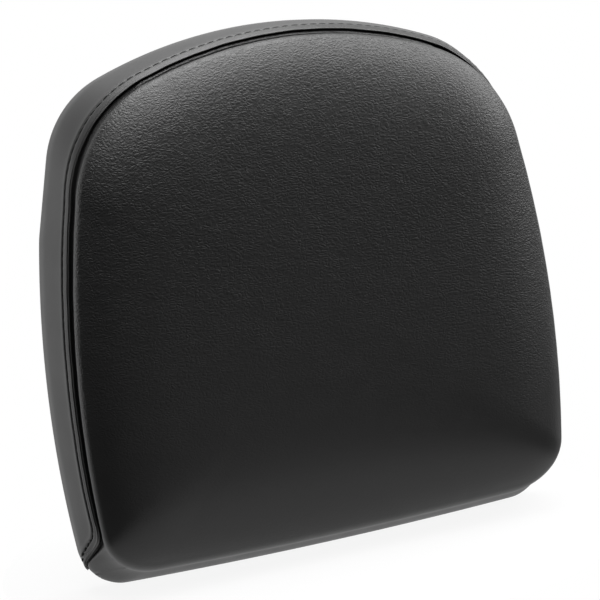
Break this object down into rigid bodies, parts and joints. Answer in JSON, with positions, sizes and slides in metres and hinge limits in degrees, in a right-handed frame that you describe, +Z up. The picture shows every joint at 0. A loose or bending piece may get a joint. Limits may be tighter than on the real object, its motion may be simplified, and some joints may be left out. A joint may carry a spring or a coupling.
{
  "type": "sissy bar backrest pad",
  "caption": "Arched, padded backrest with a grained vinyl front, topstitched side boxing, a plywood board with tee nuts and a moulded back plate.",
  "frame": {"origin": "centre of the four bolts, on the flat back of the back plate", "axes": "+X from the pad's left to its right as seen from the front, -Y out of the padded front, +Z up"},
  "size_m": [0.243, 0.0546, 0.2454],
  "materials": {
    "grained_vinyl": "black vinyl with a fine pebble grain, satin",
    "smooth_vinyl": "smooth black vinyl, satin",
    "foam": "open-cell foam, matt",
    "plywood": "raw plywood",
    "moulded_plastic": "black moulded plastic with a fine texture",
    "staple_wire": "galvanised",
    "zinc_plated_steel": "zinc plated"
  },
  "bodies": {
    "root": {"front_cover": "grained_vinyl", "side_boxing": "smooth_vinyl", "foam_cushion": "foam", "base_board": "plywood", "back_plate": "moulded_plastic", "staples": "staple_wire", "tee_nut_1": "zinc_plated_steel", "tee_nut_2": "zinc_plated_steel", "tee_nut_3": "zinc_plated_steel", "tee_nut_4": "zinc_plated_steel", "push_rivet_1": "moulded_plastic", "push_rivet_2": "moulded_plastic", "push_rivet_3": "moulded_plastic", "push_rivet_4": "moulded_plastic"}
  },
  "joints": []
}
